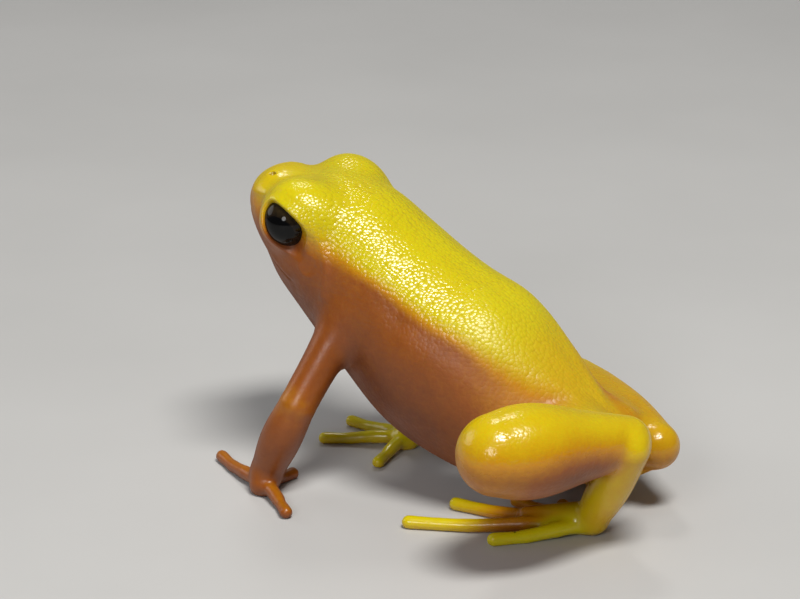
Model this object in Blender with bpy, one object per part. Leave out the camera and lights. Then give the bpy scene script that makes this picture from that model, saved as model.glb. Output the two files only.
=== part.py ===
"""Golden mantella, a small frog, life size, sitting up on straight arms with the hind legs folded.

The frog faces -Y, its left is +X and +Z is up. Lengths below are in millimetres and are turned
into metres when a mesh is stored. A place is written (left, forward, up).
"""

import math

import bmesh
import bpy
import numpy as np
from mathutils import Vector

# ---------------------------------------------------------------- driving sizes, mm
BODY_PITCH = 21.8          # degrees that the body axis rises towards the snout
VENT = (0.0, -9.20, 5.05)  # rear end of the body axis
NECK = 16.7                # where the head meets the trunk, along the axis
GAP = 0.12                 # clearance between neighbouring pieces
EYE_RADIUS = 1.42
EYE_PLACE = (2.98, 20.45, 1.60)    # left, along the axis, above the axis
ORBIT_RADII = (1.62, 1.95, 1.55)    # across, along the axis, up
ORBIT_PLACE = (2.55, 20.11, 2.28)
CENTRE_SHIFT = (-0.855, -0.933)  # (left, forward) that puts the origin under the middle of the box

# Joints of the left (seen) and right (far) limbs: (left, forward, up). The ankle is the tarsus's upper end
LEFT = dict(
    shoulder=(2.9, 5.7, 9.4), elbow=(5.72, 7.14, 5.15), wrist=(5.75, 9.05, 1.15), palm=(6.15, 9.0, 0.50),
    hip=(1.9, -7.3, 4.6), knee=(9.03, -6.33, 6.54), heel=(2.75, -10.17, 5.75), ankle=(3.28, -10.60, 5.60), ball=(2.05, -8.1, 0.85),
)
RIGHT = dict(
    shoulder=(-2.9, 5.7, 9.2), elbow=(-5.1, 5.4, 4.9), wrist=(-3.4, 5.35, 1.15), palm=(-2.9, 5.6, 0.50),
    hip=(-1.9, -7.3, 3.9), knee=(-7.9, -2.2, 3.40), heel=(-2.45, -9.5, 3.45), ankle=(-2.45, -9.5, 3.40), ball=(-3.8, -5.4, 0.85),
)
# Digits: heading in degrees outwards from straight ahead, length from the palm or the ball
LEFT_FINGERS = ((-98, 2.3), (-58, 3.0), (-29, 4.8), (142, 3.4))
RIGHT_FINGERS = ((-92, 3.2), (-24, 4.5), (14, 4.2), (60, 3.2))
LEFT_TOES = ((-34, 3.0), (-12, 4.9), (7, 7.4), (26, 9.3), (46, 5.2))
RIGHT_TOES = ((-16, 3.3), (2, 5.2), (16, 7.4), (30, 9.3), (50, 5.4))
FINGER_RADIUS, TOE_RADIUS = 0.37, 0.40

# Body profile, by distance along the axis: centre offset, half width, half depth
BODY = (
    # s,   centre, width, depth
    (-0.30, -1.20, 0.0, 0.0),
    (0.60, -1.45, 1.80, 1.25),
    (2.50, -2.00, 3.00, 2.45),
    (5.00, -2.35, 3.95, 3.75),
    (8.30, -2.00, 4.45, 4.78),
    (11.70, -1.75, 4.50, 4.80),
    (15.00, -0.85, 4.10, 4.45),
    (17.30, -0.06, 3.95, 4.16),
    (19.00, 0.35, 3.90, 3.62),
    (20.60, 0.53, 3.50, 3.05),
    (22.10, 0.70, 2.76, 2.02),
    (23.20, 0.98, 2.04, 1.58),
    (23.90, 0.96, 1.23, 1.02),
    (24.25, 0.88, 0.0, 0.0),
)

AXIS = np.array([0.0, -math.cos(math.radians(BODY_PITCH)), math.sin(math.radians(BODY_PITCH))])
DORSAL = np.array([0.0, math.sin(math.radians(BODY_PITCH)), math.cos(math.radians(BODY_PITCH))])


def at(place):
    """(left, forward, up) as world x, y, z."""
    return np.array([place[0], -place[1], place[2]], float)


def on_axis(left, along, above):
    return at(VENT) + np.array([left, 0.0, 0.0]) + along * AXIS + above * DORSAL


# ---------------------------------------------------------------- smooth tables and paths
def hermite(knots, values, where):
    """Smooth curve through the knots, with flat ends where a neighbour would overshoot."""
    knots, values = np.asarray(knots, float), np.asarray(values, float)
    slope = np.gradient(values, knots)
    i = np.clip(np.searchsorted(knots, where, side="right") - 1, 0, len(knots) - 2)
    h = knots[i + 1] - knots[i]
    t = np.clip((where - knots[i]) / h, 0, 1)
    return (
        (2 * t**3 - 3 * t**2 + 1) * values[i]
        + (t**3 - 2 * t**2 + t) * h * slope[i]
        + (-2 * t**3 + 3 * t**2) * values[i + 1]
        + (t**3 - t**2) * h * slope[i + 1]
    )


def body_size(s):
    """Centre offset, half width and half depth of the body at s. Both ends are round."""
    s = np.asarray(s, float)
    table = np.array(BODY)
    ends = np.clip((s - BODY[0][0]) * (BODY[-1][0] - s), 0, None)
    inner = table[1:-1]
    bulge = ((inner[:, 0] - BODY[0][0]) * (BODY[-1][0] - inner[:, 0])) ** 0.5
    centre = hermite(table[:, 0], table[:, 1], s)
    width = hermite(inner[:, 0], inner[:, 2] / bulge, np.clip(s, inner[0, 0], inner[-1, 0])) * ends**0.5
    depth = hermite(inner[:, 0], inner[:, 3] / bulge, np.clip(s, inner[0, 0], inner[-1, 0])) * ends**0.5
    return centre, width, depth


def body_ring(s, sides, grow=0.0):
    """One cross-section: flatter above, fuller below."""
    centre, width, depth = body_size(s)
    ring = []
    for k in range(sides):
        angle = 2 * math.pi * (k + 0.5) / sides
        c, n = math.cos(angle), math.sin(angle)
        power = 2 / 2.25 if n > 0 else 2 / 2.1
        x = math.copysign(abs(c) ** power, c) * (width + grow)
        z = math.copysign(abs(n) ** power, n) * (depth + grow)
        ring.append(on_axis(x, float(s), float(centre) + z))
    return ring


def smooth_path(points, spans):
    """Catmull-Rom curve through the points."""
    p = np.asarray(points, float)
    p = np.vstack([2 * p[0] - p[1], p, 2 * p[-1] - p[-2]])
    out = []
    for i in range(1, len(p) - 2):
        for t in np.arange(spans) / spans:
            out.append(
                0.5 * (2 * p[i] + (p[i + 1] - p[i - 1]) * t
                       + (2 * p[i - 1] - 5 * p[i] + 4 * p[i + 1] - p[i + 2]) * t**2
                       + (3 * p[i] - p[i - 1] - 3 * p[i + 1] + p[i + 2]) * t**3)
            )
    out.append(p[-2])
    return np.array(out)


# ---------------------------------------------------------------- meshes in millimetres
def loft(name, rings, poles=(None, None)):
    """A closed mesh bridged from ring to ring, closed by a pole point or a flat face at each end."""
    bm = bmesh.new()
    made = [[bm.verts.new(p) for p in ring] for ring in rings]
    for a, b in zip(made, made[1:]):
        for k in range(len(a)):
            j = (k + 1) % len(a)
            bm.faces.new((a[k], a[j], b[j], b[k]))
    for ring, pole in ((made[0], poles[0]), (made[-1], poles[1])):
        if pole is None:
            bm.faces.new(ring)
        else:
            tip = bm.verts.new(pole)
            for k in range(len(ring)):
                bm.faces.new((ring[k], ring[(k + 1) % len(ring)], tip))
    bmesh.ops.recalc_face_normals(bm, faces=bm.faces[:])
    mesh = bpy.data.meshes.new(name)
    bm.to_mesh(mesh)
    bm.free()
    if np.sum([f.area * f.center.dot(f.normal) for f in mesh.polygons]) < 0:
        mesh.flip_normals()
    obj = bpy.data.objects.new(name, mesh)
    bpy.context.scene.collection.objects.link(obj)
    return obj


def limb(name, points, radii, sides=14, spans=3, flat=1.0, grow=0.0, cap=3):
    """A tapering round limb along a smooth path, with domed ends. flat squeezes it towards the ground."""
    path = smooth_path(points, spans)
    radius = hermite(np.arange(len(radii)), radii, np.linspace(0, len(radii) - 1, len(path))) + grow
    tangent = np.gradient(path, axis=0)
    tangent /= np.linalg.norm(tangent, axis=1)[:, None]
    side = np.cross(tangent[0], (0.0, 0.0, 1.0) if abs(tangent[0][2]) < 0.9 else (0.0, 1.0, 0.0))
    rings = []
    frames = []
    for t in tangent:
        side = side - t * np.dot(side, t)
        side /= np.linalg.norm(side)
        frames.append((side.copy(), np.cross(side, t)))

    def ring(centre, frame, r):
        a, b = frame
        return [centre + r * (math.cos(w) * a + flat * math.sin(w) * b)
                for w in (2 * math.pi * k / sides for k in range(sides))]

    for i in range(cap - 1, 0, -1):
        w = math.pi / 2 * i / cap
        rings.append(ring(path[0] - tangent[0] * radius[0] * math.sin(w), frames[0], radius[0] * math.cos(w)))
    for centre, frame, r in zip(path, frames, radius):
        rings.append(ring(centre, frame, r))
    for i in range(1, cap):
        w = math.pi / 2 * i / cap
        rings.append(ring(path[-1] + tangent[-1] * radius[-1] * math.sin(w), frames[-1], radius[-1] * math.cos(w)))
    return loft(name, rings, (path[0] - tangent[0] * radius[0], path[-1] + tangent[-1] * radius[-1]))


def ball(name, centre, radii, segments=16, rings=10):
    """A sphere, or an egg whose three radii run across, along the body axis and dorsally."""
    bm = bmesh.new()
    bmesh.ops.create_uvsphere(bm, u_segments=segments, v_segments=rings, radius=1.0)
    across, along, above = (radii,) * 3 if np.isscalar(radii) else radii
    for v in bm.verts:
        v.co = Vector(across * v.co.x * np.array([1.0, 0.0, 0.0]) + along * -v.co.y * AXIS + above * v.co.z * DORSAL)
    bmesh.ops.recalc_face_normals(bm, faces=bm.faces[:])
    bmesh.ops.translate(bm, verts=bm.verts[:], vec=Vector(centre))
    mesh = bpy.data.meshes.new(name)
    bm.to_mesh(mesh)
    bm.free()
    obj = bpy.data.objects.new(name, mesh)
    bpy.context.scene.collection.objects.link(obj)
    return obj


def slab(name, low, high):
    bm = bmesh.new()
    bmesh.ops.create_cube(bm, size=1.0)
    size = np.array(high, float) - np.array(low, float)
    bmesh.ops.scale(bm, vec=Vector(size), verts=bm.verts[:])
    bmesh.ops.translate(bm, verts=bm.verts[:], vec=Vector((np.array(low, float) + np.array(high, float)) / 2))
    mesh = bpy.data.meshes.new(name)
    bm.to_mesh(mesh)
    bm.free()
    obj = bpy.data.objects.new(name, mesh)
    bpy.context.scene.collection.objects.link(obj)
    return obj


def combine(obj, others, operation):
    """Applies Boolean modifiers one after another and drops the other objects."""
    for other in others:
        other.hide_render = True
        other.display_type = "WIRE"
        step = obj.modifiers.new(operation.title(), "BOOLEAN")
        step.operation = operation
        step.solver = "EXACT"
        step.object = other
        graph = bpy.context.evaluated_depsgraph_get()
        graph.update()
        mesh = bpy.data.meshes.new_from_object(obj.evaluated_get(graph))
        obj.modifiers.clear()
        obj.data = mesh
    for other in others:
        bpy.data.objects.remove(other)
    return obj


def unite(obj, *others):
    return combine(obj, others, "UNION")


def cut(obj, *others):
    return combine(obj, others, "DIFFERENCE")


# ---------------------------------------------------------------- pieces, each with an optional margin
def limb_path(side, piece):
    """Points and radii of one limb segment of a side."""
    j = {k: at(v) for k, v in side.items()}
    out = np.array([math.copysign(1.0, side["shoulder"][0]), 0.0, 0.0])
    up = np.array([0.0, 0.0, 1.0])
    if piece == "upper_arm":
        middle = (j["shoulder"] + j["elbow"]) / 2 + 0.15 * out
        return (j["shoulder"], middle, j["elbow"]), (1.30, 1.02, 0.96)
    if piece == "forearm":
        middle = (j["elbow"] + j["wrist"]) / 2 + 0.12 * out
        return (j["elbow"], middle, j["wrist"]), (0.96, 1.08, 0.86)
    if piece == "thigh":
        end = j["knee"] - 0.25 * out + at((0, 0.5, -0.15))
        return (j["hip"], (j["hip"] + end) / 2 - 0.1 * up, end), (1.90, 1.90, 1.55) if side is LEFT else (1.70, 1.60, 1.40)
    if piece == "shank":
        a, b = j["knee"], j["heel"]
        return (a, a + (b - a) * 0.25, a + (b - a) * 0.62, b), (2.05, 2.34, 1.80, 1.28) if side is LEFT else (1.50, 1.66, 1.62, 1.20)
    if piece == "tarsus":
        middle = (j["ankle"] + j["ball"]) / 2 - 0.1 * up
        return (j["ankle"], middle, j["ball"]), (1.05, 1.08, 0.84)
    raise ValueError(piece)


def segment(side, piece, name, grow=0.0):
    points, radii = limb_path(side, piece)
    sides = 13 if piece in ("thigh", "shank") else 12
    return limb(name, points, radii, sides=sides, grow=grow, spans=4 if len(points) == 3 else 3)


def digit(name, start, heading, length, sign, radius, lift):
    """One finger or toe, arched over its middle, with a slightly wider tip that lies on the ground."""
    w = math.radians(heading)
    way = np.array([sign * math.sin(w), -math.cos(w), 0.0])
    bend = np.array([-way[1], way[0], 0.0]) * 0.03 * length * sign
    points, radii = [], []
    for t in np.linspace(0.0, 1.0, 7):
        rest = 0.29 - 0.01 * t
        height = rest + (lift - rest) * (1 - min(t / 0.7, 1.0)) ** 1.5 + 0.10 * math.sin(math.pi * min(t / 0.7, 1.0))
        p = np.array([start[0], start[1], 0.0]) + way * length * t + bend * math.sin(math.pi * t)
        p[2] = height
        points.append(p)
        radii.append(radius * (1.12 - 0.38 * t + 0.16 * max(0.0, t - 0.70) / 0.3))
    return limb(name, points, radii, sides=7, spans=1, cap=2)


def ground_cut(obj):
    return cut(obj, slab("under", (-40, -40, -8), (40, 40, 0)))


def hand(side, name, fingers):
    sign = math.copysign(1.0, side["shoulder"][0])
    wrist, palm = at(side["wrist"]), at(side["palm"])
    obj = limb(name, (wrist, (wrist + palm) / 2, palm), (0.76, 0.84, 0.78), sides=12, spans=3)
    for k, (heading, length) in enumerate(fingers):
        obj = unite(obj, digit(f"{name}_{k}", palm, heading, length, sign, FINGER_RADIUS, 0.50))
    return ground_cut(obj)


def foot(side, name, toes):
    sign = math.copysign(1.0, side["shoulder"][0])
    start = at(side["ball"])
    w = math.radians(0.5 * (toes[2][0] + toes[3][0]))
    way = np.array([sign * math.sin(w), -math.cos(w), 0.0])
    sole = limb(name, (start, start + way * 1.6 + (0, 0, -0.14), start + way * 3.3 + (0, 0, -0.24)), (0.88, 0.72, 0.48), sides=12, spans=3)
    obj = sole
    for k, (heading, length) in enumerate(toes):
        obj = unite(obj, digit(f"{name}_{k}", start, heading, length, sign, TOE_RADIUS, 0.60))
    return ground_cut(obj)


# ---------------------------------------------------------------- finish
SKIN = dict(
    gold=((0.80, 0.55, 0.02, 1), 0.32),
    amber=((0.70, 0.33, 0.015, 1), 0.34),
    eye=((0.01, 0.01, 0.012, 1), 0.06),
)


def material(name, kind):
    colour, rough = SKIN[kind]
    mat = bpy.data.materials.new(name)
    mat.use_nodes = True
    shader = mat.node_tree.nodes["Principled BSDF"]
    shader.inputs["Base Color"].default_value = colour
    shader.inputs["Roughness"].default_value = rough
    shader.inputs["Metallic"].default_value = 0.0
    return mat


def store(obj, name, origin, kind, root):
    """Stores the mesh in metres about its own origin and hangs it on the root."""
    shift = at((CENTRE_SHIFT[0], CENTRE_SHIFT[1], 0.0))
    origin = np.asarray(origin, float)
    mesh = obj.data
    bm = bmesh.new()
    bm.from_mesh(mesh)
    bmesh.ops.translate(bm, verts=bm.verts[:], vec=Vector(-origin))
    bmesh.ops.scale(bm, verts=bm.verts[:], vec=Vector((0.001, 0.001, 0.001)))
    bm.to_mesh(mesh)
    bm.free()
    obj.name = name
    mesh.name = name
    obj.location = Vector((origin + shift) * 0.001)
    obj.parent = root
    mesh.materials.clear()
    mesh.materials.append(material(name, kind))
    mesh.shade_smooth()
    mesh.set_sharp_from_angle(angle=math.radians(50))
    return obj


def body_rings(low, high, count, sides=24, grow=0.0):
    return [body_ring(s, sides, grow) for s in np.linspace(low, high, count)]


def trunk(name, grow=0.0, end=NECK - GAP / 2):
    first = BODY[0][0]
    ends = [first + 0.9 * (k / 4) ** 2 for k in range(1, 4)]
    rings = [body_ring(s, 24, grow) for s in ends] + body_rings(first + 0.9, end, 14, grow=grow)
    centre = body_size(first)[0]
    return loft(name, rings, (on_axis(0, first - grow, float(centre)), None))


def head_form(name):
    last = BODY[-1][0]
    ends = [last - 0.5 * (k / 4) ** 2 for k in range(3, 0, -1)]
    rings = body_rings(NECK + GAP / 2, last - 0.5, 9) + [body_ring(s, 24) for s in ends]
    centre = body_size(last)[0]
    return loft(name, rings, (None, on_axis(0, last, float(centre))))


def jaw_cutter(name, low, high):
    """A block whose two faces follow the mouth line, which drops a little towards the corner of the mouth."""
    bm = bmesh.new()
    corners = []
    for left in (-9.0, 9.0):
        for along, line in ((NECK - 3.0, -1.75), (28.0, 0.05)):
            for n in (low, high):
                corners.append(bm.verts.new(on_axis(left, along, line + n)))
    bmesh.ops.convex_hull(bm, input=corners)
    mesh = bpy.data.meshes.new(name)
    bm.to_mesh(mesh)
    bm.free()
    obj = bpy.data.objects.new(name, mesh)
    bpy.context.scene.collection.objects.link(obj)
    return obj


def build():
    for old in list(bpy.data.objects):
        bpy.data.objects.remove(old)
    root = bpy.data.objects.new("golden_mantella", None)
    bpy.context.scene.collection.objects.link(root)

    body = trunk("trunk_form")
    store_later = [(body, "trunk", on_axis(0, 8, -2), "gold")]

    # head with raised orbits, sockets for the eyes, and the lower jaw parted along the mouth
    head = head_form("head_form")
    eyes = []
    for sign in (1, -1):
        place = on_axis(sign * EYE_PLACE[0], EYE_PLACE[1], EYE_PLACE[2])
        head = unite(head, ball("orbit", on_axis(sign * ORBIT_PLACE[0], ORBIT_PLACE[1], ORBIT_PLACE[2]), ORBIT_RADII))
        head = cut(head, ball("socket", place, EYE_RADIUS + GAP))
        eyes.append((ball("ball", place, EYE_RADIUS), "eye_left" if sign > 0 else "eye_right", place, "eye"))
    jaw = cut(head_form("jaw_form"), jaw_cutter("above", -GAP / 2, 12.0))
    head = cut(head, jaw_cutter("below", -12.0, GAP / 2))
    store_later += [(head, "head", on_axis(0, NECK, 0), "gold"), (jaw, "lower_jaw", on_axis(0, NECK, -1.5), "amber")]
    store_later += eyes

    for side, tag, fingers, toes in ((LEFT, "left", LEFT_FINGERS, LEFT_TOES), (RIGHT, "right", RIGHT_FINGERS, RIGHT_TOES)):
        def grown(piece):
            return segment(side, piece, piece + "_margin", GAP)

        def part(piece, near):
            obj = segment(side, piece, piece + "_form")
            return cut(obj, *near)

        arm = part("upper_arm", (trunk("margin", GAP, NECK + 3.0),))
        fore = part("forearm", (grown("upper_arm"),))
        palm = cut(hand(side, "hand_form", fingers), grown("forearm"))
        thigh = part("thigh", (trunk("margin", GAP),))
        shank = part("shank", (grown("thigh"), trunk("margin", GAP)))
        tarsus = part("tarsus", (grown("shank"), grown("thigh"), trunk("margin", GAP)))
        sole = cut(foot(side, "foot_form", toes), grown("tarsus"))
        store_later += [
            (arm, f"upper_arm_{tag}", at(side["shoulder"]), "gold"),
            (fore, f"forearm_{tag}", at(side["elbow"]), "amber"),
            (palm, f"hand_{tag}", at(side["wrist"]), "amber"),
            (thigh, f"thigh_{tag}", at(side["hip"]), "gold"),
            (shank, f"shank_{tag}", at(side["knee"]), "gold"),
            (tarsus, f"tarsus_{tag}", at(side["heel"]), "gold"),
            (sole, f"foot_{tag}", at(side["ball"]), "amber"),
        ]
    for obj, name, origin, kind in store_later:
        store(obj, name, origin, kind, root)


build()
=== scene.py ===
"""Looks of a life-size golden mantella, a small frog sitting up on its straight arms.

One skin stands for every node of flesh. Its shape is a distance field in millimetres, made from the
same sizes as the solids, with the folds, lids, nostrils and mouth line added. The eyes are pieces of
their own. The frog faces -Y, its left is +X and +Z is up; a place is written (left, forward, up).
"""

import math

import bpy
import numpy as np
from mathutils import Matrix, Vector, noise

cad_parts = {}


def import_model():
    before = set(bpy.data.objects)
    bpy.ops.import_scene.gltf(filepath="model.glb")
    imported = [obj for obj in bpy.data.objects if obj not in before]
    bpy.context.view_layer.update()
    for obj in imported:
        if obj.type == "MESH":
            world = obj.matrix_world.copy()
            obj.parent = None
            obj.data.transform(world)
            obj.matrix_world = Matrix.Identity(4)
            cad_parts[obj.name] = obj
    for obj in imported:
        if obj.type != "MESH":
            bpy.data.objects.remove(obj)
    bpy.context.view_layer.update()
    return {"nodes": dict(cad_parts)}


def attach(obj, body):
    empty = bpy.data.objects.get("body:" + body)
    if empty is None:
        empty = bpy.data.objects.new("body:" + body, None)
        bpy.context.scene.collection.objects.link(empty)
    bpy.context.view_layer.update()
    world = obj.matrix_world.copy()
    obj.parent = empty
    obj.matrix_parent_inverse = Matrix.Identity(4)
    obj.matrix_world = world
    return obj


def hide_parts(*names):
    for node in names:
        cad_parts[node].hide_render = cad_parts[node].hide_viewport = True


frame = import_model()

# ---------------------------------------------------------------- sizes shared with the solids, mm
BODY_PITCH = 21.8          # degrees that the body axis rises towards the snout
VENT = (0.0, -9.20, 5.05)  # rear end of the body axis
EYE_RADIUS = 1.42
EYE_PLACE = (2.98, 20.45, 1.60)     # left, along the axis, above the axis
ORBIT_RADII = (1.62, 1.95, 1.55)    # across, along the axis, up
ORBIT_PLACE = (2.55, 20.11, 2.28)
CENTRE_SHIFT = (-0.855, -0.933)       # (left, forward)

LEFT = dict(
    shoulder=(2.9, 5.7, 9.4), elbow=(5.72, 7.14, 5.15), wrist=(5.75, 9.05, 1.15), palm=(6.15, 9.0, 0.50),
    hip=(1.9, -7.3, 4.6), knee=(9.03, -6.33, 6.54), heel=(2.75, -10.17, 5.75), ankle=(3.28, -10.60, 5.60), ball=(2.05, -8.1, 0.85),
    fingers=((-98, 2.3), (-58, 3.0), (-29, 4.8), (142, 3.4)),
    toes=((-34, 3.0), (-12, 4.9), (7, 7.4), (26, 9.3), (46, 5.2)),
    thigh=(1.90, 1.90, 1.55), calf=(2.05, 2.34, 1.80, 1.28), tarsus=(1.05, 1.08, 0.84),
)
RIGHT = dict(
    shoulder=(-2.9, 5.7, 9.2), elbow=(-5.1, 5.4, 4.9), wrist=(-3.4, 5.35, 1.15), palm=(-2.9, 5.6, 0.50),
    hip=(-1.9, -7.3, 3.9), knee=(-7.9, -2.2, 3.40), heel=(-2.45, -9.5, 3.45), ankle=(-2.45, -9.5, 3.40), ball=(-3.8, -5.4, 0.85),
    fingers=((-92, 3.2), (-24, 4.5), (14, 4.2), (60, 3.2)),
    toes=((-16, 3.3), (2, 5.2), (16, 7.4), (30, 9.3), (50, 5.4)),
    thigh=(1.70, 1.60, 1.40), calf=(1.50, 1.66, 1.62, 1.20), tarsus=(1.05, 1.08, 0.84),
)
FINGER_RADIUS, TOE_RADIUS = 0.37, 0.40

BODY = (
    # s,   centre, width, depth
    (-0.30, -1.20, 0.0, 0.0),
    (0.60, -1.45, 1.80, 1.25),
    (2.50, -2.00, 3.00, 2.45),
    (5.00, -2.35, 3.95, 3.75),
    (8.30, -2.00, 4.45, 4.78),
    (11.70, -1.75, 4.50, 4.80),
    (15.00, -0.85, 4.10, 4.45),
    (17.30, -0.06, 3.95, 4.16),
    (19.00, 0.35, 3.90, 3.62),
    (20.60, 0.53, 3.50, 3.05),
    (22.10, 0.70, 2.76, 2.02),
    (23.20, 0.98, 2.04, 1.58),
    (23.90, 0.96, 1.23, 1.02),
    (24.25, 0.88, 0.0, 0.0),
)

# ---------------------------------------------------------------- sizes of the skin's own detail, mm
LID = 0.15                # thickness of the lids over the eyeball
GAZE = (-8.0, 0.0)        # degrees: the eye's axis looks outwards, turned back a little, level
OPENING = (               # turn round the gaze (0 forward, 90 up) and angle from it to the lids' edge, degrees
    (-165, 56), (-148, 61), (-132, 57), (-112, 46), (-90, 37), (-62, 33), (-35, 34), (-8, 41),
    (10, 53), (24, 63), (36, 66), (48, 60), (64, 50), (84, 43), (108, 40), (130, 42), (150, 48), (168, 53),
)
MESH = 0.150   # lattice of the skin's first mesh
FINE = 0.062              # edge length where lids, lips and nostrils need it

AXIS = np.array([0.0, -math.cos(math.radians(BODY_PITCH)), math.sin(math.radians(BODY_PITCH))])
DORSAL = np.array([0.0, math.sin(math.radians(BODY_PITCH)), math.cos(math.radians(BODY_PITCH))])


def at(place):
    """(left, forward, up) as x, y, z."""
    return np.array([place[0], -place[1], place[2]], float)


def on_axis(left, along, above):
    return at(VENT) + np.array([left, 0.0, 0.0]) + along * AXIS + above * DORSAL


# ---------------------------------------------------------------- curves
def hermite(knots, values, where):
    knots, values = np.asarray(knots, float), np.asarray(values, float)
    slope = np.gradient(values, knots)
    i = np.clip(np.searchsorted(knots, where, side="right") - 1, 0, len(knots) - 2)
    h = knots[i + 1] - knots[i]
    t = np.clip((where - knots[i]) / h, 0, 1)
    return (
        (2 * t**3 - 3 * t**2 + 1) * values[i]
        + (t**3 - 2 * t**2 + t) * h * slope[i]
        + (-2 * t**3 + 3 * t**2) * values[i + 1]
        + (t**3 - t**2) * h * slope[i + 1]
    )


def smooth_path(points, spans):
    """Catmull-Rom curve through the points."""
    p = np.asarray(points, float)
    p = np.vstack([2 * p[0] - p[1], p, 2 * p[-1] - p[-2]])
    out = []
    for i in range(1, len(p) - 2):
        for t in np.arange(spans) / spans:
            out.append(
                0.5 * (2 * p[i] + (p[i + 1] - p[i - 1]) * t
                       + (2 * p[i - 1] - 5 * p[i] + 4 * p[i + 1] - p[i + 2]) * t**2
                       + (3 * p[i] - p[i - 1] - 3 * p[i + 1] + p[i + 2]) * t**3)
            )
    out.append(p[-2])
    return np.array(out)


def softened(values, width, step):
    """A table blurred by a Gaussian, so that no knot shows in a reflection."""
    reach = int(3 * width / step)
    weight = np.exp(-0.5 * (np.arange(-reach, reach + 1) * step / width) ** 2)
    padded = np.concatenate([2 * values[0] - values[reach:0:-1], values, 2 * values[-1] - values[-2:-reach - 2:-1]])
    return np.convolve(padded, weight / weight.sum(), mode="valid")


def ease(t):
    t = np.clip(t, 0.0, 1.0)
    return t * t * (3 - 2 * t)


def bell(t):
    return np.exp(-t * t)


# ---------------------------------------------------------------- the body's form
S0, S1 = BODY[0][0], BODY[-1][0]
_table = np.array(BODY)
_inner = _table[1:-1]
_bulge = ((_inner[:, 0] - S0) * (S1 - _inner[:, 0])) ** 0.5
ALONG = np.linspace(S0, S1, 1228)
_held = np.clip(ALONG, _inner[0, 0], _inner[-1, 0])
_step = ALONG[1] - ALONG[0]
CENTRE = softened(hermite(_table[:, 0], _table[:, 1], ALONG), 0.5, _step)
WIDTH = softened(hermite(_inner[:, 0], _inner[:, 2] / _bulge, _held), 0.5, _step)
DEPTH = softened(hermite(_inner[:, 0], _inner[:, 3] / _bulge, _held), 0.5, _step)


def body_frame(p):
    """Left, along the axis and above the axis, of points in x, y, z."""
    q = p - at(VENT)
    return q[:, 0], q @ AXIS, q @ DORSAL


def body_level(ax, s, n):
    """Negative inside the body, zero on it. Flatter above, fuller below, squarer over the snout."""
    c, w, d = np.interp(s, ALONG, CENTRE), np.interp(s, ALONG, WIDTH), np.interp(s, ALONG, DEPTH)
    end = (s - S0) * (S1 - s)
    v = (n - c) / d
    upper = ease(0.5 + v / np.sqrt(np.maximum(end, 1.0)))
    power = 2.1 + 0.15 * upper
    f = (np.abs(ax) / w + 1e-4) ** power + (np.abs(v) + 1e-4) ** power
    return f ** (2 / power) - end


def body_distance(ax, s, n):
    e = 0.02
    g = body_level(ax, s, n)
    gx = (body_level(ax + e, s, n) - g) / e
    gs = (body_level(ax, s + e, n) - g) / e
    gn = (body_level(ax, s, n + e) - g) / e
    return np.maximum(g / np.maximum(np.sqrt(gx**2 + gs**2 + gn**2), 1e-2), -4.0)


def round_angle(ax, s, n):
    """Where a point lies round the body, degrees: 90 on the spine, 0 on the side, -90 under the belly."""
    c, w, d = np.interp(s, ALONG, CENTRE), np.interp(s, ALONG, WIDTH), np.interp(s, ALONG, DEPTH)
    return np.degrees(np.arctan2((n - c) / d, np.abs(ax) / w + 1e-6))


def mouth_line(s):
    """Height above the axis of the slit between the lips."""
    return -1.05 + 0.126 * (s - 19.26) + 0.10 * bell((s - 21.3) / 1.2) + 0.14 * ease((s - 22.0) / 2.0)


def polyline_distance(s, n, points):
    best = np.full(s.shape, 1e9)
    for (s0, n0), (s1, n1) in zip(points, points[1:]):
        ds, dn = s1 - s0, n1 - n0
        t = np.clip(((s - s0) * ds + (n - n0) * dn) / (ds * ds + dn * dn), 0, 1)
        best = np.minimum(best, np.hypot(s - s0 - t * ds, n - n0 - t * dn))
    return best


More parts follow.
